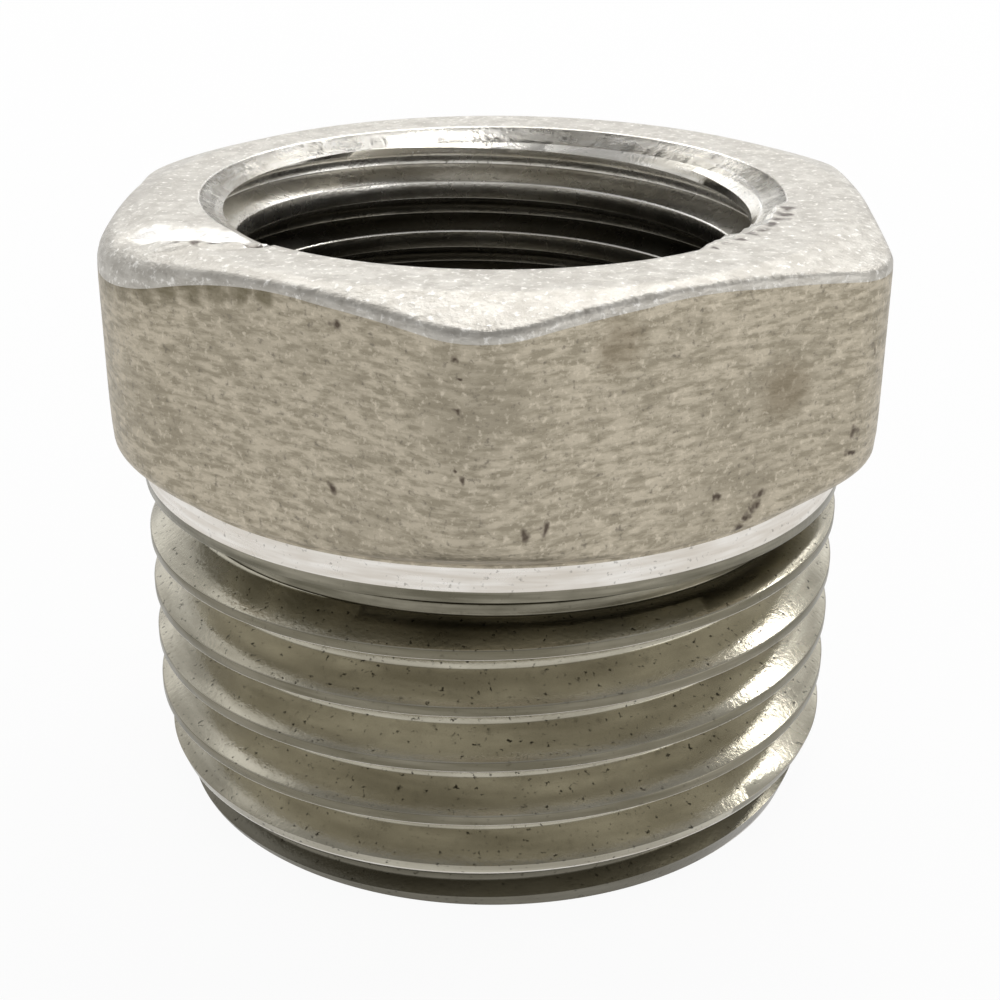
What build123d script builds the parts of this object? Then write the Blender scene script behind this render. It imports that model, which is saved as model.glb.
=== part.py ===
from build123d import *
import os
from math import ceil, cos, floor, radians, tan

# Hexagon reducing bushing for pipe, cast in stainless steel and turned: parallel pipe threads,
# G 3/8 outside and G 1/4 inside, this one tapped from the hexagon's end into a through bore.
# Millimetres. +Z runs along the pipe's axis from the threaded end to the hexagon, and the origin
# is the centre of the threaded end's face, which the bushing stands on.
# One corner of the hexagon points along -Y.

# Whitworth pipe thread form, shared by both threads
form_depth = 0.640327               # depth of thread, per millimetre of pitch
flat_share = 1 / 6                  # flat on each crest and in each root, per pitch

# Male thread
male_pitch = 1.337
male_major_diameter = 16.662
male_start_angle = -46.8            # where a crest comes out of the end face, from +X
thread_length = 7.1
lead_chamfer_height = 1.65
lead_chamfer_depth = 0.62

# Run-out of the male thread, under the collar
neck_length = 0.26
neck_allowance = 0.03               # the neck is this far inside the roots
undercut_width = 0.48
undercut_depth = 0.22               # below the neck

# Collar and hexagon
collar_length = 0.86
collar_step = 0.02                  # the collar stands this far outside the crests
hex_height = 5.6
hex_across_flats = 17.0
hex_corner_radius = 2.0
crown_inset = 0.35                  # the flat ring on top ends this far inside the flats
crown_angle = 16.0
under_angle = 31.0                  # chamfer under the corners, from the collar outwards
under_radius = 0.8                  # round from that chamfer into the corners
turning_clearance = 0.05            # that round's tool keeps this far outside the corners

# Female thread
end_wall = 0.896                    # metal between the roots of the two threads
female_pitch = 1.337
female_start_angle = 102.5          # where a root would come out of the end face, from +X
female_thread_length = 9.4          # full thread, from the top face down
tap_lead = 0.8                      # the grooves run out over this length below the full thread
drill_allowance = 0.2075            # what the tapping drill leaves off the height of the crests
mouth_rim = 0.12                    # the countersink on top reaches this far outside the roots
countersink_angle = 120.0

# Sizes worked out from the ones above
male_depth = form_depth * male_pitch
female_depth = form_depth * female_pitch
undercut_bottom = thread_length + neck_length
collar_bottom = undercut_bottom + undercut_width
hex_bottom = collar_bottom + collar_length
total_height = hex_bottom + hex_height
hex_corner_reach = (hex_across_flats / 2 - hex_corner_radius) / cos(radians(30)) + hex_corner_radius
male_crest_radius = male_major_diameter / 2
neck_radius = male_crest_radius - male_depth - neck_allowance
undercut_radius = neck_radius - undercut_depth
collar_radius = male_crest_radius + collar_step
female_root_radius = male_crest_radius - male_depth - end_wall
female_crest_radius = female_root_radius - female_depth
drill_radius = female_crest_radius + drill_allowance


def threaded_rod(crest, depth, pitch, start_angle, bottom, top):
    """Solid rod with a Whitworth thread, a turn or two longer at both ends than from bottom to top.

    crest is the radius of the crests, and one of them starts at start_angle at height 0. Every turn
    is four ruled faces between helices: crest, flank, root and flank. A ramp and a step close each end.
    """
    def helix_turn(radius, height):
        turn = Edge.make_helix(pitch, pitch, radius)
        return turn.rotate(Axis.Z, start_angle).translate((0, 0, height))

    profile = (
        (0, crest),
        (flat_share, crest),
        (1 / 2, crest - depth),
        (1 / 2 + flat_share, crest - depth),
        (1, crest),
    )
    first_turn = floor(bottom / pitch) - 2
    last_turn = ceil(top / pitch) + 1
    faces = []
    for turn in range(first_turn, last_turn):
        helices = [helix_turn(radius, (turn + share) * pitch) for share, radius in profile]
        for lower, upper in zip(helices, helices[1:]):
            faces.append(Face.make_surface_from_curves(lower, upper))
    side = Plane.XZ.rotated((0, 0, start_angle))
    for turn in (first_turn, last_turn):
        start = turn * pitch
        axis = Edge.make_line((0, 0, start), (0, 0, start + pitch))
        faces.append(Face.make_surface_from_curves(axis, helix_turn(crest, start)))
        corners = [(0, 0), *profile, (1, 0)]
        points = [side.from_local_coords(Vector(radius, start + share * pitch)) for share, radius in corners]
        faces.append(Face(Wire.make_polygon(points)))
    return Solid(Shell(faces))


with BuildPart() as tap:
    # What the tap cuts from the bore: the female thread's grooves, running out at their lower end
    full_thread_end = total_height - female_thread_length
    run_out_end = full_thread_end - tap_lead
    add(threaded_rod(
        female_root_radius, female_depth, female_pitch, female_start_angle, run_out_end, total_height
    ))
    with BuildSketch(Plane.XZ):
        with BuildLine():
            Polyline(
                (0, run_out_end),
                (female_crest_radius, run_out_end),
                (female_root_radius, full_thread_end),
                (female_root_radius + tap_lead, full_thread_end + tap_lead),
                (female_root_radius + tap_lead, total_height),
                (0, total_height),
                close=True,
            )
        make_face()
    revolve(axis=Axis.Z, mode=Mode.INTERSECT)

with BuildPart() as hex_bushing:
    # Threaded shank, cut off square above and chamfered below
    add(threaded_rod(male_crest_radius, male_depth, male_pitch, male_start_angle, 0, thread_length))
    with BuildSketch(Plane.XZ):
        with BuildLine():
            Polyline(
                (0, 0),
                (male_crest_radius - lead_chamfer_depth, 0),
                (male_crest_radius + lead_chamfer_depth, 2 * lead_chamfer_height),
                (male_crest_radius + lead_chamfer_depth, thread_length),
                (0, thread_length),
                close=True,
            )
        make_face()
    revolve(axis=Axis.Z, mode=Mode.INTERSECT)

    # Neck, undercut and collar, turned in one pass
    with BuildSketch(Plane.XZ):
        with BuildLine():
            Polyline(
                (0, thread_length),
                (neck_radius, thread_length),
                (neck_radius, undercut_bottom),
                (undercut_radius, undercut_bottom),
                (undercut_radius, collar_bottom),
                (collar_radius, collar_bottom),
                (collar_radius, hex_bottom),
                (0, hex_bottom),
                close=True,
            )
        make_face()
    revolve(axis=Axis.Z)

    # Hexagon
    with BuildSketch(Plane.XY.offset(hex_bottom)):
        RegularPolygon(hex_across_flats / 2, 6, major_radius=False, rotation=30)
        fillet(vertices(), hex_corner_radius)
    extrude(amount=hex_height)

    # Crown turned on top of the hexagon
    outside = hex_corner_reach + turning_clearance
    crown_radius = hex_across_flats / 2 - crown_inset
    crown_drop = (outside - crown_radius) * tan(radians(crown_angle))
    with BuildSketch(Plane.XZ):
        with BuildLine():
            Polyline(
                (crown_radius, total_height),
                (outside, total_height - crown_drop),
                (outside, total_height),
                close=True,
            )
        make_face()
    revolve(axis=Axis.Z, mode=Mode.SUBTRACT)

    # Chamfer under its corners, rounded where it runs into them as far as its length has room
    under_edge = max(hex_corner_reach, collar_radius) + turning_clearance
    under_run = under_edge - collar_radius
    under_rise = under_run * tan(radians(under_angle))
    under_length = under_run / cos(radians(under_angle))
    under_room = under_length / tan(radians(90 - under_angle) / 2)
    with BuildSketch(Plane.XZ):
        with BuildLine():
            FilletPolyline(
                (collar_radius, hex_bottom),
                (under_edge, hex_bottom + under_rise),
                (under_edge, hex_bottom + under_rise + under_radius),
                radius=min(under_radius, 0.9 * under_room),
            )
            Polyline(
                (under_edge, hex_bottom + under_rise + under_radius),
                (under_edge + under_radius, hex_bottom + under_rise + under_radius),
                (under_edge + under_radius, hex_bottom),
                (collar_radius, hex_bottom),
            )
        make_face()
    revolve(axis=Axis.Z, mode=Mode.SUBTRACT)

    # Bore, drilled right through and tapped
    with BuildSketch():
        Circle(drill_radius)
    extrude(amount=total_height, mode=Mode.SUBTRACT)
    add(tap.part, mode=Mode.SUBTRACT)

    # Countersink in the top face
    mouth_radius = female_root_radius + mouth_rim
    countersink_depth = (mouth_radius - drill_radius) / tan(radians(countersink_angle / 2))
    with BuildSketch(Plane.XZ):
        with BuildLine():
            Polyline(
                (0, total_height),
                (mouth_radius, total_height),
                (drill_radius, total_height - countersink_depth),
                (0, total_height - countersink_depth),
                close=True,
            )
        make_face()
    revolve(axis=Axis.Z, mode=Mode.SUBTRACT)

hex_bushing.part.label = "hex_bushing"
os.makedirs("parts", exist_ok=True)
export_step(hex_bushing.part, "parts/hex_bushing.step")
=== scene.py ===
import math

import bmesh
import bpy
import numpy as np
from mathutils import Matrix, Vector, noise


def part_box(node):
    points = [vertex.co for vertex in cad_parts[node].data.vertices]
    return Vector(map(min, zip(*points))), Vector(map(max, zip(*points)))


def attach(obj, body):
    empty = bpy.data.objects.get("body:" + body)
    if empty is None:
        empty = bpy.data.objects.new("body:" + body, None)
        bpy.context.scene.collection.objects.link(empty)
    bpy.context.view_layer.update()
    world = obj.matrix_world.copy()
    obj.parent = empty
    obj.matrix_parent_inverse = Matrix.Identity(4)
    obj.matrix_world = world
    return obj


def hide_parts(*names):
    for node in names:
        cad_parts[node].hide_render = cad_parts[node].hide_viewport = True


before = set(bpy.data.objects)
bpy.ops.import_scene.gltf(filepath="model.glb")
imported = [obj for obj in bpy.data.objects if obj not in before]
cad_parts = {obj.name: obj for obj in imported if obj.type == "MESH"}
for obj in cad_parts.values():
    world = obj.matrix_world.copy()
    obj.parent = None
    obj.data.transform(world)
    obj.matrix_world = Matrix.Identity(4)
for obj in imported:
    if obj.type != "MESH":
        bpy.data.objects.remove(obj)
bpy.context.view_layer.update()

# The bushing stands on its threaded end at height 0, with its axis on Z. Metres throughout.
MM = 0.001
low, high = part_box("hex_bushing")
ACROSS_FLATS = high[0] - low[0]
TOTAL_HEIGHT = high[2]

# Sizes of the CAD solid that the fine mesh repeats
PITCH = 1.337 * MM
THREAD_DEPTH = 0.640327 * PITCH
CREST_RADIUS = 8.331 * MM
MALE_START = math.radians(-46.8)
THREAD_LENGTH = 7.1 * MM
LEAD_HEIGHT = 1.65 * MM
LEAD_DEPTH = 0.62 * MM
NECK_LENGTH = 0.26 * MM
NECK_ALLOWANCE = 0.03 * MM
UNDERCUT_WIDTH = 0.48 * MM
UNDERCUT_DEPTH = 0.22 * MM
COLLAR_LENGTH = 0.86 * MM
COLLAR_STEP = 0.02 * MM
CROWN_INSET = 0.35 * MM
CROWN_SLOPE = math.tan(math.radians(16))
UNDER_SLOPE = math.tan(math.radians(31))
END_WALL = 0.896 * MM
FEMALE_START = math.radians(102.5)
FEMALE_LENGTH = 9.4 * MM
TAP_LEAD = 0.8 * MM
DRILL_ALLOWANCE = 0.2075 * MM
MOUTH_RIM = 0.12 * MM
SLIVER = 0.02 * MM                  # keeps two rows apart that would meet
COUNTERSINK_SLOPE = math.tan(math.radians(60))

UNDERCUT_BOTTOM = THREAD_LENGTH + NECK_LENGTH
COLLAR_BOTTOM = UNDERCUT_BOTTOM + UNDERCUT_WIDTH
HEX_BOTTOM = COLLAR_BOTTOM + COLLAR_LENGTH
NECK_RADIUS = CREST_RADIUS - THREAD_DEPTH - NECK_ALLOWANCE
UNDERCUT_RADIUS = NECK_RADIUS - UNDERCUT_DEPTH
COLLAR_RADIUS = CREST_RADIUS + COLLAR_STEP
ROOT_RADIUS = CREST_RADIUS - THREAD_DEPTH - END_WALL
DRILL_RADIUS = ROOT_RADIUS - THREAD_DEPTH + DRILL_ALLOWANCE
MOUTH_RADIUS = ROOT_RADIUS + MOUTH_RIM
CROWN_RADIUS = ACROSS_FLATS / 2 - CROWN_INSET

# Roundings of the hexagon; places round the axis are in degrees from +X
CORNER_RADIUS = 2.0 * MM
MELT = 0.7 * MM                     # added to it at the underside, where the casting is blunt
MELT_HEIGHT = 2.2 * MM
UNDER_ROUND = 0.8 * MM
UNDER_HEIGHT = 0.6 * MM             # above its bottom, where the underside's outline is taken
COLLAR_ROUND = 0.12 * MM
CROWN_ROUND = 0.28 * MM
LAND_ROUND = 0.6 * MM

# Wear of this bushing, at the left of the photograph
WORN_CORNERS = ((-150, 2.0 * MM), (150, 3.0 * MM))  # place, and what wear adds to the radius
CROWN_WEAR = (-162, 38, 0.9 * MM)   # centre, reach, and what wear adds to the crown's rounding
LAND_WEAR = (165, 85, 0.45 * MM)    # centre, reach, and what the flat ring on top has lost


# Thread form

EDGE = 0.014                        # half width of the worn edge on a crest, in pitches


def worn_profile(crest_end, root_start, root_end, floor_depth):
    """Share of a pitch against share of the depth, with its four edges slightly worn."""
    corners = [(0, 0), (crest_end, 0), (root_start, floor_depth), (root_end, floor_depth), (1, 0)]
    shares, depths = [], []
    for index, (share, depth) in enumerate(corners[:-1]):
        before = corners[index - 1] if index else (corners[-2][0] - 1, corners[-2][1])
        after = corners[index + 1]
        rate_in = (depth - before[1]) / (share - before[0])
        rate_out = (after[1] - depth) / (after[0] - share)
        shares += [share - EDGE, share, share + EDGE, (share + after[0]) / 2]
        sag = (rate_out - rate_in) * EDGE / 4
        depths += [depth - rate_in * EDGE, depth + sag, depth + rate_out * EDGE]
        depths.append((depth + after[1]) / 2)
    return np.array(shares), np.array(depths)


MALE_SHARES, MALE_DEPTHS = worn_profile(1 / 6, 1 / 2, 2 / 3, 1)
CUT = 1 - DRILL_ALLOWANCE / THREAD_DEPTH
FEMALE_SHARES, FEMALE_DEPTHS = worn_profile(1 / 6, 1 / 6 + CUT / 3, 1 - CUT / 3, CUT)


def profile_depth(phase, shares, depths):
    """Depth below the crest at a phase, both as shares."""
    wrapped = (phase + EDGE) % 1 - EDGE
    return np.interp(wrapped, np.append(shares, shares[0] + 1), np.append(depths, depths[0]))


def male_radius(height, turn):
    phase = height / PITCH - turn
    threaded = CREST_RADIUS - THREAD_DEPTH * profile_depth(phase, MALE_SHARES, MALE_DEPTHS)
    return np.minimum(threaded, CREST_RADIUS - LEAD_DEPTH * (1 - height / LEAD_HEIGHT))


def female_radius(height, turn):
    phase = height / PITCH - turn
    threaded = ROOT_RADIUS - THREAD_DEPTH * profile_depth(phase, FEMALE_SHARES, FEMALE_DEPTHS)
    run_out_end = TOTAL_HEIGHT - FEMALE_LENGTH - TAP_LEAD
    lead = DRILL_RADIUS + (height - run_out_end) * (ROOT_RADIUS - DRILL_RADIUS) / TAP_LEAD
    return np.maximum(np.minimum(threaded, lead), DRILL_RADIUS)


# Hexagon

def hex_radius(angle, corner):
    """Distance from the axis to a hexagon with rounded corners, one of them at -Y."""
    apothem = ACROSS_FLATS / 2
    sixth = math.pi / 3
    away = np.abs((angle + math.pi / 2 + sixth / 2) % sixth - sixth / 2)
    centre = (apothem - corner) / math.cos(sixth / 2)
    tangent = np.arctan2(corner * math.sin(sixth / 2), centre + corner * math.cos(sixth / 2))
    arc = centre * np.cos(away) + np.sqrt(np.maximum(corner**2 - (centre * np.sin(away))**2, 0))
    return np.where(away < tangent, arc, apothem / np.cos(sixth / 2 - away))


def fading(distance, reach):
    """1 at a line or point, falling smoothly to 0 at its reach."""
    share = np.clip(1 - distance / reach, 0, 1)
    return share * share * (3 - 2 * share)


def away_from(place):
    """Angle between each column and a place round the axis."""
    return np.abs((angles - math.radians(place) + math.pi) % (2 * math.pi) - math.pi)


def worn_around(centre, reach, amount):
    """The whole amount in the column at a centre, falling smoothly to 0 at its reach."""
    return amount * fading(away_from(centre), math.radians(reach))


def corner_radius(height):
    """The corners melt away towards the cast underside, and the two at the left are worn."""
    share = np.clip((height - HEX_BOTTOM) / MELT_HEIGHT, 0, 1)
    worn = 0
    for corner, extra in WORN_CORNERS:
        worn = worn + np.where(away_from(corner) < math.pi / 6, extra, 0)
    return CORNER_RADIUS + MELT * (1 - share)**2 + worn


def rounded_corner(start, corner, end, radius, steps):
    """Points of an arc that rounds the corner between two straight runs, for all columns."""
    into = corner - start
    out = end - corner
    reach_in = np.linalg.norm(into, axis=0)
    reach_out = np.linalg.norm(out, axis=0)
    into = into / reach_in
    out = out / reach_out
    half_turn = np.arccos(np.clip((into * out).sum(axis=0), -1, 1)) / 2
    tangent = np.minimum(radius * np.tan(half_turn), 0.45 * np.minimum(reach_in, reach_out))
    points = []
    for step in range(steps + 1):
        share = step / steps
        first = corner - into * tangent * (1 - share)
        second = corner + out * tangent * share
        points.append(first * (1 - share) + second * share)
    return points


# The surface: rows from the end face, up the outside, over the top and down the bore

def column_angles():
    """Columns once round from the male thread's start, closer together at the damage."""
    steps = [np.linspace(0, 360, 217)]
    for start, end in ((-158, -128), (-48, -8)):
        steps.append((np.linspace(start, end, 22) - math.degrees(MALE_START)) % 360)
    return MALE_START + np.radians(np.unique(np.round(np.concatenate(steps), 3)))


angles = column_angles()
COLUMNS = len(angles) - 1
rows = []
zones = []


def add_row(radius, height, zone):
    ones = np.ones(COLUMNS + 1)
    rows.append((radius * ones, height * ones))
    zones.append(zone)


def add_edge(points, radius, zone, steps=3):
    """A turned profile of straight runs, rounded where they meet."""
    ones = np.ones(COLUMNS + 1)
    runs = [np.array([point[0] * ones, point[1] * ones]) for point in points]
    for index in range(1, len(runs) - 1):
        for point in rounded_corner(runs[index - 1], runs[index], runs[index + 1], radius, steps):
            add_row(point[0], point[1], zone)


def shank_rows():
    tip = CREST_RADIUS - LEAD_DEPTH
    for share in (0.1, 0.5, 0.9):
        add_row(DRILL_RADIUS + (tip - DRILL_RADIUS) * share, 0, "end")
    turn = (angles - MALE_START) / (2 * math.pi)
    for whole in range(-1, math.ceil(THREAD_LENGTH / PITCH) + 1):
        for index, share in enumerate(MALE_SHARES):
            height = np.clip((turn + whole + share) * PITCH, 0, THREAD_LENGTH)
            # The first turn's crests are cut by the lead chamfer, and look like its flanks
            # The lower edge of each crest gets the light turned steel, a painted highlight
            zone = "edge" if index < 2 else "crest" if index < 5 and whole > 0 else "thread"
            add_row(male_radius(height, turn), height, zone)


def collar_rows():
    # The neck, undercut and collar's underside are the relief zone, painted dark as shade under
    # the collar
    add_edge(
        [
            (NECK_RADIUS + 0.1 * MM, THREAD_LENGTH),
            (NECK_RADIUS, THREAD_LENGTH),
            (NECK_RADIUS, UNDERCUT_BOTTOM),
            (UNDERCUT_RADIUS, UNDERCUT_BOTTOM),
            (UNDERCUT_RADIUS, COLLAR_BOTTOM),
            (COLLAR_RADIUS, COLLAR_BOTTOM),
            (COLLAR_RADIUS, HEX_BOTTOM),
        ],
        0.04 * MM,
        "relief",
    )
    for share in (0.3, 0.6, 0.9):
        add_row(COLLAR_RADIUS, COLLAR_BOTTOM + COLLAR_LENGTH * share, "collar")


def hex_rows():
    ones = np.ones(COLUMNS + 1)
    lower = hex_radius(angles, corner_radius(HEX_BOTTOM + UNDER_HEIGHT))
    upper = hex_radius(angles, corner_radius(TOTAL_HEIGHT))
    start = np.array([COLLAR_RADIUS * ones, HEX_BOTTOM * ones])
    under = np.array([lower, HEX_BOTTOM + (lower - COLLAR_RADIUS) * UNDER_SLOPE])
    land_radius = CROWN_RADIUS - worn_around(*LAND_WEAR)
    crown = np.array([upper, TOTAL_HEIGHT - (upper - land_radius) * CROWN_SLOPE])
    land = np.array([land_radius, TOTAL_HEIGHT * ones])
    mouth = np.array([MOUTH_RADIUS * ones, TOTAL_HEIGHT * ones])
    for point in rounded_corner(start - np.array([[0], [1 * MM]]), start, under, COLLAR_ROUND, 4):
        add_row(point[0], point[1], "cast")
    under_round = rounded_corner(start, under, crown, UNDER_ROUND, 8)
    for point in under_round:
        add_row(point[0], point[1], "cast")
    crown_round = rounded_corner(under, crown, land, CROWN_ROUND + worn_around(*CROWN_WEAR), 6)
    bottom = under_round[-1]
    top = crown_round[0]
    flat_steps = 14
    for step in range(1, flat_steps):
        share = step / flat_steps
        height = bottom[1] + (top[1] - bottom[1]) * share
        add_row(hex_radius(angles, corner_radius(height)), height, "cast")
    for point in crown_round:
        add_row(point[0], point[1], "crown")
    land_round = rounded_corner(crown, land, mouth, LAND_ROUND, 3)
    for share in (0.25, 0.5, 0.75):
        point = crown_round[-1] + (land_round[0] - crown_round[-1]) * share
        add_row(point[0], point[1], "crown")
    for point in land_round:
        add_row(point[0], point[1], "crown")
    for share in np.linspace(0, 1, 11)[1:-1]:
        point = land_round[-1] + (mouth - land_round[-1]) * share
        add_row(point[0], point[1], "crown")


def bore_rows():
    depth = (MOUTH_RADIUS - DRILL_RADIUS) / COUNTERSINK_SLOPE
    for share in (0, 0.04, 0.35, 0.7):
        radius = MOUTH_RADIUS + (DRILL_RADIUS - MOUTH_RADIUS) * share
        add_row(radius, TOTAL_HEIGHT - depth * share, "mouth")
    turn = (angles - FEMALE_START) / (2 * math.pi)
    top = TOTAL_HEIGHT - SLIVER
    bottom = TOTAL_HEIGHT - FEMALE_LENGTH - TAP_LEAD
    first = math.ceil(top / PITCH) + 1
    last = math.floor(bottom / PITCH) - 2
    for whole in range(first, last, -1):
        for index, share in reversed(list(enumerate(FEMALE_SHARES))):
            height = np.clip((turn + whole + share) * PITCH, bottom, top)
            radius = female_radius(height, turn)
            mouth = DRILL_RADIUS + (height - (TOTAL_HEIGHT - depth)) * COUNTERSINK_SLOPE
            # The worn upper edge of each crest gets the light mouth steel, a painted highlight
            zone = "bore_highlight_edge" if index in (13, 14) else "bore"
            add_row(np.maximum(radius, mouth), height, zone)
    for share in (0.98, 0.6, 0.3, 0.03):
        add_row(DRILL_RADIUS, bottom * share, "bore")
    add_row(DRILL_RADIUS + SLIVER, 0, "end")


shank_rows()
collar_rows()
hex_rows()
bore_rows()


def from_line(points, start, end):
    """Distance of the points from a line across the top face, ends given in millimetres."""
    start, end = np.array(start) * MM, np.array(end) * MM
    along = end - start
    share = np.clip(((points[..., :2] - start) @ along) / (along @ along), 0, 1)
    return np.linalg.norm(points[..., :2] - start - share[..., None] * along, axis=-1)


# Damage to the top face: along a line from one place to another, as far to its sides as the reach
GOUGE = ((-7.2, -4.1), (-5.0, -4.6), 0.62)
HOLE = ((-4.75, -5.12), (-4.55, -5.02), 0.26)
LIP = ((-6.6, -5.15), (-4.9, -5.15), 0.3)
BURR = ((4.7, -4.75), (6.55, -1.5), 0.45)
DAMAGE_DEPTH = 0.45 * MM            # only this far below the top face
RAGGED_SCALE = 2600


def damage(points):
    """The gouge in the crown at the left and the burr on the mouth's edge at the right."""
    near_top = points[..., 2] > TOTAL_HEIGHT - DAMAGE_DEPTH
    gouge, hole, lip, burr = (
        fading(from_line(points, start, end), reach * MM) * near_top
        for start, end, reach in (GOUGE, HOLE, LIP, BURR)
    )
    ragged = np.zeros(points.shape[:2])
    for row, column in np.argwhere(gouge + hole + lip + burr > 0):
        ragged[row, column] = noise.noise(Vector(points[row, column]) * RAGGED_SCALE)
    points[..., 2] += gouge * (-0.12 + 0.12 * ragged) * MM
    points[..., 2] += lip * (0.05 + 0.05 * ragged) * MM - hole * 0.3 * MM
    points[..., 2] += burr * (0.03 + 0.06 * ragged) * MM
    points[..., :2] *= (1 - burr * (0.03 + 0.02 * ragged))[..., None]


def build_mesh():
    radius = np.array([row[0] for row in rows])
    height = np.array([row[1] for row in rows])
    points = np.stack([radius * np.cos(angles), radius * np.sin(angles), height], axis=-1)
    damage(points)
    slots = {name: index for index, name in enumerate(materials)}
    faces = []
    face_slots = []
    for row in range(len(rows)):
        above = (row + 1) % len(rows)
        slot = slots[ZONE_MATERIAL[zones[row]]]
        for column in range(COLUMNS):
            a = row * (COLUMNS + 1) + column
            b = above * (COLUMNS + 1) + column
            faces.append((a, a + 1, b + 1, b))
            face_slots.append(slot)
    mesh = bpy.data.meshes.new("bushing")
    mesh.from_pydata(points.reshape(-1, 3).tolist(), [], faces)
    for name in materials:
        mesh.materials.append(materials[name])
    mesh.polygons.foreach_set("material_index", face_slots)
    work = bmesh.new()
    work.from_mesh(mesh)
    bmesh.ops.remove_doubles(work, verts=work.verts, dist=0.0004 * MM)
    bmesh.ops.dissolve_degenerate(work, edges=work.edges, dist=0.0002 * MM)
    open_edges = sum(1 for edge in work.edges if len(edge.link_faces) != 2)
    print("bushing: faces", len(work.faces), "edges not shared by two faces", open_edges)
    for face in work.faces:
        face.smooth = True
    work.to_mesh(mesh)
    work.free()
    mesh.set_sharp_from_angle(angle=math.radians(38))
    return mesh


# Materials

def new_material(name):
    material = bpy.data.materials.new(name)
    material.use_nodes = True
    return material, material.node_tree.nodes, material.node_tree.links


# Stains, pits, burrs and a band of painted shade: where they are in millimetres, how far they
# reach, and on which material
FLAT_MARKS = (
    ((7.75, -5.34, 10.48), 0.20),
    ((7.72, -5.36, 10.03), 0.16),
    ((8.14, -5.11, 10.48), 0.12),
    ((8.19, -5.09, 10.02), 0.12),
    ((8.15, -5.11, 12.21), 0.14),
    ((5.69, -6.53, 9.57), 0.16),
    ((5.60, -6.58, 9.32), 0.14),
    ((5.45, -6.67, 9.13), 0.17),
    ((5.30, -6.76, 8.87), 0.17),
    ((4.73, -7.09, 9.68), 0.12),
    ((1.26, -9.09, 9.84), 0.16),
    ((0.88, -9.31, 9.83), 0.15),
    ((-0.29, -9.50, 11.00), 0.12),
    ((-2.92, -8.13, 10.26), 0.14),
    ((-7.41, -5.53, 13.75), 0.34),
    ((-2.75, -8.23, 13.63), 0.16),
    ((-7.62, -5.42, 12.11), 0.14),
    ((-0.42, -9.44, 13.36), 0.08),
    ((-0.42, -9.44, 12.96), 0.08),
    ((-0.42, -9.44, 12.39), 0.08),
    ((-0.42, -9.44, 11.63), 0.10),
    ((-0.42, -9.44, 11.23), 0.08),
)
STAINS = (
    ((6.07, -6.31, 11.75), 0.8),
    ((2.62, -8.30, 13.33), 0.7),
)
# Painted shade: a dark band under the crown's rounding on the left flat
SHADE_UNDER_CROWN = (
    ((-8.55, -4.35, 13.45), 0.65),
    ((-8.10, -4.95, 13.50), 0.65),
    ((-7.60, -5.35, 13.58), 0.60),
    ((-7.00, -5.75, 13.68), 0.55),
    ((-6.40, -6.11, 13.76), 0.50),
    ((-5.80, -6.46, 13.84), 0.45),
    ((-5.25, -6.78, 13.90), 0.40),
    ((-4.70, -7.10, 13.95), 0.36),
    ((-4.20, -7.38, 13.98), 0.30),
)
CROWN_MARKS = (
    ((-6.35, -5.02, 14.22), 0.20),
    ((-5.95, -5.10, 14.24), 0.20),
    ((-5.50, -5.04, 14.26), 0.20),
    ((-5.08, -5.02, 14.26), 0.22),
    ((-4.66, -5.08, 14.20), 0.30),
)
BURR_MARKS = tuple(
    ((6.77 * math.cos(math.radians(angle)), 6.77 * math.sin(math.radians(angle)), 14.28), reach)
    for angle, reach in zip(range(-47, -12, 4), np.linspace(0.14, 0.26, 9).tolist())
)
GOUGE_MARKS = (
    ((-7.05, -4.05, 14.25), 0.55),
    ((-6.50, -4.25, 14.22), 0.60),
    ((-5.95, -4.35, 14.22), 0.60),
    ((-5.40, -4.50, 14.22), 0.55),
)


# Sizes of the steels' noise, in features per metre
STREAKS = 2100
PATCHES = 380
CAST_GRAIN = 7000
BLOTCHES = 900
TURNED_GRAIN = 8000
RAGGED_EDGES = 3000

# Colours that the steels share
SPECK_BROWN = (0.16, 0.14, 0.11)
SPECK_BLACK = (0.03, 0.025, 0.015)
BARE_STEEL = (0.96, 0.94, 0.90)
MARK_BROWN = (0.06, 0.04, 0.03)
TURNED_MARK_BROWN = (0.10, 0.065, 0.04)
STAIN_BROWN = (0.17, 0.13, 0.075)
# colour of the painted shade under the crown's edge
SHADE_UNDER_CROWN_BROWN = (0.14, 0.12, 0.07)


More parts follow.
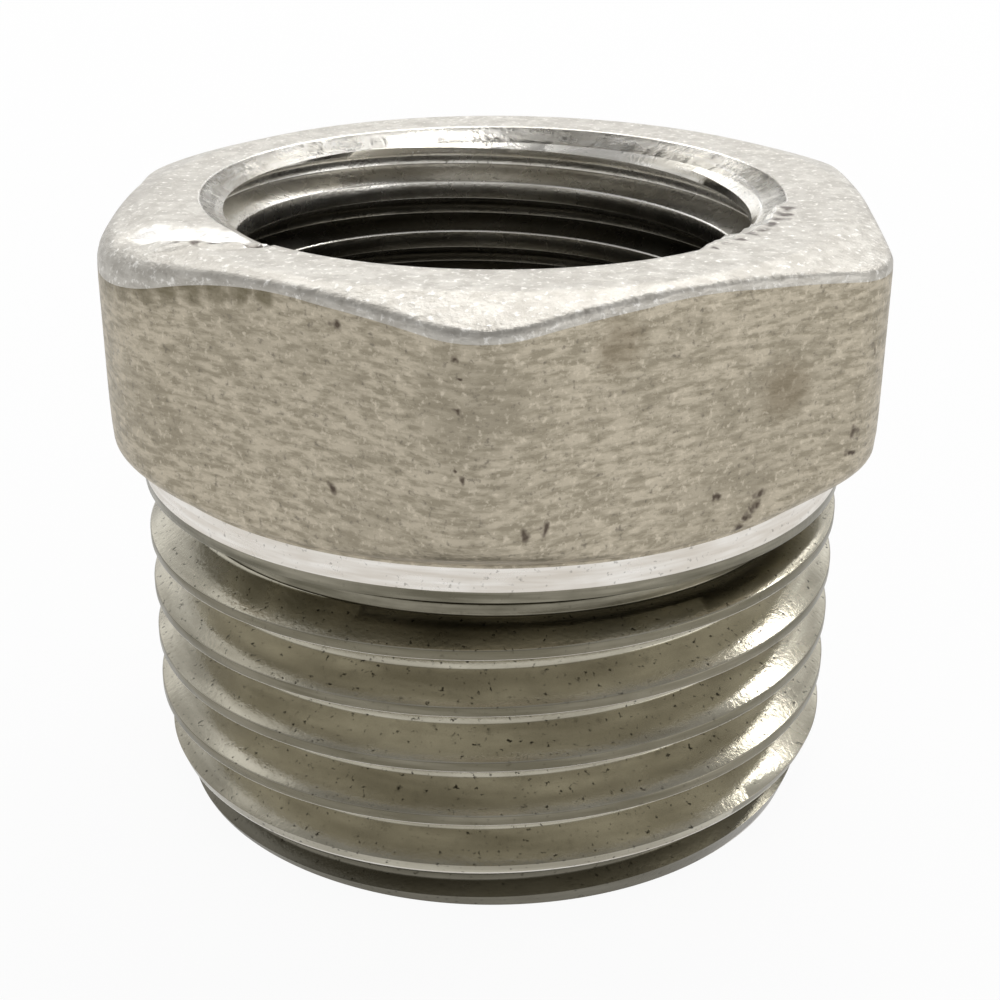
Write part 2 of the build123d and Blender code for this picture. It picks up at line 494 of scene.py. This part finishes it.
class Nodes:
    """A material's node tree, with the few steps that all the steels use."""

    def __init__(self, name):
        self.material, self.nodes, self.links = new_material(name)
        self.shader = self.nodes["Principled BSDF"]
        self.place = self.nodes.new("ShaderNodeTexCoord").outputs["Object"]

    def noise(self, scale, stretch=(1, 1, 1), detail=4.0):
        mapping = self.nodes.new("ShaderNodeMapping")
        mapping.inputs["Scale"].default_value = stretch
        self.links.new(self.place, mapping.inputs["Vector"])
        texture = self.nodes.new("ShaderNodeTexNoise")
        texture.inputs["Scale"].default_value = scale
        texture.inputs["Detail"].default_value = detail
        texture.inputs["Roughness"].default_value = 0.6
        self.links.new(mapping.outputs["Vector"], texture.inputs["Vector"])
        return texture.outputs["Fac"]

    def remap(self, value, start, end, low, high):
        node = self.nodes.new("ShaderNodeMapRange")
        settings = {"From Min": start, "From Max": end, "To Min": low, "To Max": high}
        for name, number in settings.items():
            node.inputs[name].default_value = number
        self.links.new(value, node.inputs["Value"])
        return node.outputs["Result"]

    def math(self, operation, first, second):
        node = self.nodes.new("ShaderNodeMath")
        node.operation = operation
        self.links.new(first, node.inputs[0])
        self.links.new(second, node.inputs[1])
        return node.outputs["Value"]

    def blend(self, share, first, second):
        """A colour between two; each is a colour or the output of another blend."""
        node = self.nodes.new("ShaderNodeMix")
        node.data_type = "RGBA"
        self.links.new(share, node.inputs["Factor"])
        for color, name in ((first, "A_Color"), (second, "B_Color")):
            socket = next(each for each in node.inputs if each.identifier == name)
            if isinstance(color, tuple):
                socket.default_value = (*color, 1)
            else:
                self.links.new(color, socket)
        return next(each for each in node.outputs if each.identifier == "Result_Color")

    def near(self, marks):
        """1 at any of the marks and 0 away from them, with ragged edges."""
        warp = self.nodes.new("ShaderNodeTexNoise")
        warp.inputs["Scale"].default_value = RAGGED_EDGES
        self.links.new(self.place, warp.inputs["Vector"])
        moved = self.nodes.new("ShaderNodeVectorMath")
        moved.operation = "MULTIPLY_ADD"
        self.links.new(warp.outputs["Color"], moved.inputs[0])
        moved.inputs[1].default_value = (0.5 * MM,) * 3
        self.links.new(self.place, moved.inputs[2])
        found = None
        for place, reach in marks:
            away = self.nodes.new("ShaderNodeVectorMath")
            away.operation = "DISTANCE"
            self.links.new(moved.outputs["Vector"], away.inputs[0])
            away.inputs[1].default_value = tuple((part + 0.25) * MM for part in place)
            inside = self.remap(away.outputs["Value"], reach * MM, reach * 0.4 * MM, 0, 1)
            found = inside if found is None else self.math("MAXIMUM", found, inside)
        return found

    def bump(self, height, distance):
        node = self.nodes.new("ShaderNodeBump")
        node.inputs["Strength"].default_value = 1.0
        node.inputs["Distance"].default_value = distance * MM
        self.links.new(height, node.inputs["Height"])
        self.links.new(node.outputs["Normal"], self.shader.inputs["Normal"])

    def finish(self, color, roughness):
        self.shader.inputs["Metallic"].default_value = 1.0
        self.links.new(color, self.shader.inputs["Base Color"])
        self.links.new(roughness, self.shader.inputs["Roughness"])
        return self.material


def cast(name, dark, light, glint, specks, marks, scar):
    """Cast faces: fine grain, short streaks across, brown patches, pits and marks.

    specks is how dark the grain's specks are. A face with a scar has it bright, and neither
    stains nor the painted shade under the crown's edge.
    """
    tree = Nodes(name)
    streaks = tree.noise(STREAKS, (1, 1, 3.4), 3)
    grain = tree.noise(CAST_GRAIN, detail=3)
    patches = tree.noise(PATCHES, (1, 1, 1.8), 3)
    color = tree.blend(tree.remap(streaks, 0.38, 0.60, 0, 1), dark, light)
    faded = tuple(0.92 * part for part in dark)
    color = tree.blend(tree.remap(patches, 0.50, 0.72, 0, 0.7), color, faded)
    color = tree.blend(tree.remap(grain, 0.56, 0.72, 0, 0.8), color, glint)
    color = tree.blend(tree.remap(grain, 0.42, 0.27, 0, specks), color, SPECK_BROWN)
    if scar:
        color = tree.blend(tree.near(scar), color, BARE_STEEL)
    color = tree.blend(tree.remap(tree.near(marks), 0, 1, 0, 0.85), color, MARK_BROWN)
    if not scar:
        stains_and_shade = tree.remap(tree.near(STAINS), 0, 1, 0, 0.45)
        color = tree.blend(stains_and_shade, color, STAIN_BROWN)
        # Painted shade under the crown's edge at the left
        stains_and_shade = tree.remap(tree.near(SHADE_UNDER_CROWN), 0, 1, 0, 0.7)
        color = tree.blend(stains_and_shade, color, SHADE_UNDER_CROWN_BROWN)
    tree.bump(tree.math("ADD", grain, streaks), 0.022)
    return tree.finish(color, tree.remap(grain, 0.3, 0.7, 0.36, 0.52))


def turned(name, dark, light, roughness, line_scale, specks, depth, painted_shade=(), marks=()):
    """Turned faces: fine rings round the axis, faint blotches and small dark specks.

    specks is how dark they are and depth how deep, in millimetres. The painted shade that darkens
    downwards is given by the height where it sets in, where it is at its most, how much, and its
    colour.
    """
    tree = Nodes(name)
    lines = tree.noise(line_scale, (0.08, 0.08, 1), 2)
    blotches = tree.noise(BLOTCHES, detail=3)
    grain = tree.noise(TURNED_GRAIN, detail=2)
    color = tree.blend(tree.remap(lines, 0.35, 0.65, 0, 1), dark, light)
    color = tree.blend(tree.remap(blotches, 0.5, 0.75, 0, 0.5), color, dark)
    color = tree.blend(tree.remap(grain, 0.37, 0.27, 0, specks), color, SPECK_BLACK)
    # Painted shade: darker downwards from a given height
    if painted_shade:
        split = tree.nodes.new("ShaderNodeSeparateXYZ")
        tree.links.new(tree.place, split.inputs["Vector"])
        above, below, most, shade_color = painted_shade
        shade_share = tree.remap(split.outputs["Z"], above * MM, below * MM, 0, most)
        color = tree.blend(shade_share, color, shade_color)
    if marks:
        color = tree.blend(tree.remap(tree.near(marks), 0, 1, 0, 0.85), color, TURNED_MARK_BROWN)
    tree.bump(tree.math("ADD", lines, grain), depth)
    return tree.finish(color, tree.remap(blotches, 0.3, 0.7, roughness - 0.05, roughness + 0.06))


materials = {
    "cast_steel": cast(
        "cast_steel",
        dark=(0.34, 0.30, 0.225),
        light=(0.55, 0.49, 0.385),
        glint=(0.70, 0.63, 0.51),
        specks=0.7,
        marks=FLAT_MARKS,
        scar=(),
    ),
    "crown_steel": cast(
        "crown_steel",
        dark=(0.47, 0.445, 0.40),
        light=(0.60, 0.575, 0.525),
        glint=(0.97, 0.95, 0.91),
        specks=0.3,
        marks=CROWN_MARKS + BURR_MARKS,
        scar=GOUGE_MARKS,
    ),
    "turned_steel": turned(
        "turned_steel",
        dark=(0.70, 0.65, 0.58),
        light=(0.88, 0.85, 0.80),
        roughness=0.3,
        line_scale=6000,
        specks=0.4,
        depth=0.006,
    ),
    "mouth_steel": turned(
        "mouth_steel",
        dark=(0.58, 0.55, 0.49),
        light=(0.93, 0.91, 0.87),
        roughness=0.27,
        line_scale=4200,
        specks=0.3,
        depth=0.008,
        marks=BURR_MARKS,
    ),
    # Painted shade: a dark steel for the neck, undercut and collar's underside, in the collar's
    # shade
    "relief_shade_steel": turned(
        "relief_shade_steel",
        dark=(0.14, 0.13, 0.095),
        light=(0.30, 0.28, 0.22),
        roughness=0.3,
        line_scale=5000,
        specks=0.2,
        depth=0.006,
    ),
    "thread_steel": turned(
        "thread_steel",
        dark=(0.36, 0.335, 0.265),
        light=(0.53, 0.50, 0.41),
        roughness=0.22,
        line_scale=3600,
        specks=0.95,
        depth=0.006,
        # Painted shade: darker towards the bottom end of the thread, near the floor
        painted_shade=(1.15, 0.8, 0.7, (0.06, 0.055, 0.04)),
    ),
    "crest_steel": turned(
        "crest_steel",
        dark=(0.17, 0.155, 0.11),
        light=(0.25, 0.23, 0.175),
        roughness=0.3,
        line_scale=5000,
        specks=0.3,
        depth=0.004,
    ),
    "bore_steel": turned(
        "bore_steel",
        dark=(0.66, 0.63, 0.56),
        light=(0.93, 0.91, 0.86),
        roughness=0.26,
        line_scale=3600,
        specks=0.5,
        depth=0.008,
        # Painted shade: darker deeper down the bore, below its first turns
        painted_shade=(13.1, 12.5, 0.85, (0.09, 0.08, 0.055)),
    ),
}
ZONE_MATERIAL = {
    "end": "turned_steel",
    "thread": "thread_steel",
    # painted highlight on the lower edge of each crest
    "edge": "turned_steel",
    "crest": "crest_steel",
    "relief": "relief_shade_steel",
    "collar": "turned_steel",
    "cast": "cast_steel",
    "crown": "crown_steel",
    "mouth": "mouth_steel",
    "bore": "bore_steel",
    # painted highlight on the upper edge of each crest in the bore
    "bore_highlight_edge": "mouth_steel",
}

bushing = bpy.data.objects.new("bushing", build_mesh())
bpy.context.scene.collection.objects.link(bushing)
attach(bushing, "root")
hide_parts("hex_bushing")


# Floor, light and camera

FLOOR_REACH = 0.6
FLOOR_WHITE = 0.94                  # share of the floor that is plain white; the rest is shaded
MIRRORED_WHITE = 0.7                # how much of that reflections get


def make_floor():
    mesh = bpy.data.meshes.new("floor")
    signs = ((-1, -1), (1, -1), (1, 1), (-1, 1))
    corners = [(x * FLOOR_REACH, y * FLOOR_REACH, 0) for x, y in signs]
    mesh.from_pydata(corners, [], [(0, 1, 2, 3)])
    floor = bpy.data.objects.new("floor", mesh)
    bpy.context.scene.collection.objects.link(floor)
    material, nodes, links = new_material("floor_white")
    shader = nodes["Principled BSDF"]
    shader.inputs["Base Color"].default_value = (0.85, 0.85, 0.85, 1)
    shader.inputs["Roughness"].default_value = 0.9
    white = nodes.new("ShaderNodeEmission")
    white.inputs["Color"].default_value = (1, 1, 1, 1)
    rays = nodes.new("ShaderNodeLightPath")
    seen = nodes.new("ShaderNodeMath")
    seen.operation = "MULTIPLY_ADD"
    links.new(rays.outputs["Is Glossy Ray"], seen.inputs[0])
    seen.inputs[1].default_value = MIRRORED_WHITE
    links.new(rays.outputs["Is Camera Ray"], seen.inputs[2])
    share = nodes.new("ShaderNodeMapRange")
    share.inputs["To Max"].default_value = FLOOR_WHITE
    links.new(seen.outputs["Value"], share.inputs["Value"])
    mix = nodes.new("ShaderNodeMixShader")
    links.new(share.outputs["Result"], mix.inputs["Fac"])
    links.new(shader.outputs["BSDF"], mix.inputs[1])
    links.new(white.outputs["Emission"], mix.inputs[2])
    links.new(mix.outputs["Shader"], nodes["Material Output"].inputs["Surface"])
    mesh.materials.append(material)


make_floor()


def make_world():
    world = bpy.data.worlds.new("studio")
    bpy.context.scene.world = world
    world.use_nodes = True
    nodes, links = world.node_tree.nodes, world.node_tree.links
    coords = nodes.new("ShaderNodeTexCoord")
    split = nodes.new("ShaderNodeSeparateXYZ")
    links.new(coords.outputs["Generated"], split.inputs["Vector"])
    ramp = nodes.new("ShaderNodeValToRGB")
    elements = ramp.color_ramp.elements
    elements[0].position = 0.0
    elements[0].color = (0.9, 0.9, 0.9, 1)
    elements[1].position = 1.0
    elements[1].color = (0.33, 0.33, 0.33, 1)
    # Brightness against the sine of the elevation
    for sine, value in ((0.0, 0.6), (0.22, 0.85), (0.35, 0.7), (0.6, 0.5), (0.85, 0.38)):
        element = elements.new((sine + 1) / 2)
        element.color = (value, value, value, 1)
    shift = nodes.new("ShaderNodeMapRange")
    shift.inputs["From Min"].default_value = -1
    shift.inputs["From Max"].default_value = 1
    links.new(split.outputs["Z"], shift.inputs["Value"])
    links.new(shift.outputs["Result"], ramp.inputs["Fac"])
    studio = nodes["Background"]
    links.new(ramp.outputs["Color"], studio.inputs["Color"])
    white = nodes.new("ShaderNodeBackground")
    white.inputs["Color"].default_value = (1, 1, 1, 1)
    rays = nodes.new("ShaderNodeLightPath")
    mix = nodes.new("ShaderNodeMixShader")
    links.new(rays.outputs["Is Camera Ray"], mix.inputs["Fac"])
    links.new(studio.outputs["Background"], mix.inputs[1])
    links.new(white.outputs["Background"], mix.inputs[2])
    links.new(mix.outputs["Shader"], nodes["World Output"].inputs["Surface"])


make_world()


def area_light(name, place, target, width, height, power):
    light = bpy.data.lights.new(name, "AREA")
    light.shape = "RECTANGLE"
    light.size = width
    light.size_y = height
    light.energy = power
    lamp = bpy.data.objects.new(name, light)
    bpy.context.scene.collection.objects.link(lamp)
    lamp.location = place
    lamp.rotation_euler = (Vector(target) - Vector(place)).to_track_quat("-Z", "Y").to_euler()


CENTRE = (0, 0, TOTAL_HEIGHT / 2)


def on_sphere(distance, azimuth, elevation):
    """A place around the bushing; azimuth 0 is +X and -90 is the camera's side."""
    a, e = math.radians(azimuth), math.radians(elevation)
    return (
        distance * math.cos(e) * math.cos(a),
        distance * math.cos(e) * math.sin(a),
        CENTRE[2] + distance * math.sin(e),
    )


WINDOW_DISTANCE = 0.3


def window(name, azimuth, elevation, wide, tall, radiance):
    """A soft window of that angular size and brightness, as seen from the bushing."""
    width = 2 * WINDOW_DISTANCE * math.tan(math.radians(wide / 2))
    height = 2 * WINDOW_DISTANCE * math.tan(math.radians(tall / 2))
    power = radiance * math.pi * width * height
    place = on_sphere(WINDOW_DISTANCE, azimuth, elevation)
    area_light(name, place, CENTRE, width, height, power)


WINDOWS = (
    # name, azimuth, elevation, how wide and how tall in degrees, and brightness
    ("back_softbox", 90, 46, 70, 20, 2.6),
    ("back_low", 90, 15, 90, 14, 0.5),
    ("mouth_window", 70, 68, 14, 9, 8),
    ("right_window", 31, 40, 6, 9, 16),
    ("left_fill", 152, 45, 24, 20, 0.6),
    ("right_fill", -22, 14, 32, 24, 1.1),
)
for settings in WINDOWS:
    window(*settings)

# Camera, placed by matching the thread's crests, the hexagon and the mouth in the photograph
CAMERA_DISTANCE = 39.47 * MM        # from the axis
CAMERA_HEIGHT = 23.88 * MM
CAMERA_AZIMUTH = -88.5
CAMERA_HEADING = 91.21
CAMERA_PITCH = 23.84
CAMERA_ROLL = 0.324
FOCAL_PIXELS = 1740
FRAME_PIXELS = 1000
SENSOR = 36.0


def make_camera():
    data = bpy.data.cameras.new("camera")
    data.sensor_width = SENSOR
    data.lens = FOCAL_PIXELS / FRAME_PIXELS * SENSOR
    data.clip_start = 0.001
    data.clip_end = 10
    camera = bpy.data.objects.new("camera", data)
    bpy.context.scene.collection.objects.link(camera)
    azimuth, heading = math.radians(CAMERA_AZIMUTH), math.radians(CAMERA_HEADING)
    pitch, roll = math.radians(CAMERA_PITCH), math.radians(CAMERA_ROLL)
    forward = Vector((
        math.cos(heading) * math.cos(pitch),
        math.sin(heading) * math.cos(pitch),
        -math.sin(pitch),
    ))
    level = forward.cross(Vector((0, 0, 1))).normalized()
    upright = level.cross(forward)
    right = level * math.cos(roll) + upright * math.sin(roll)
    up = upright * math.cos(roll) - level * math.sin(roll)
    turn = Matrix((right, up, -forward)).transposed()
    place = Vector((
        CAMERA_DISTANCE * math.cos(azimuth),
        CAMERA_DISTANCE * math.sin(azimuth),
        CAMERA_HEIGHT,
    ))
    camera.matrix_world = Matrix.Translation(place) @ turn.to_4x4()
    bpy.context.scene.camera = camera


make_camera()

view = bpy.context.scene.view_settings
view.view_transform = "Standard"
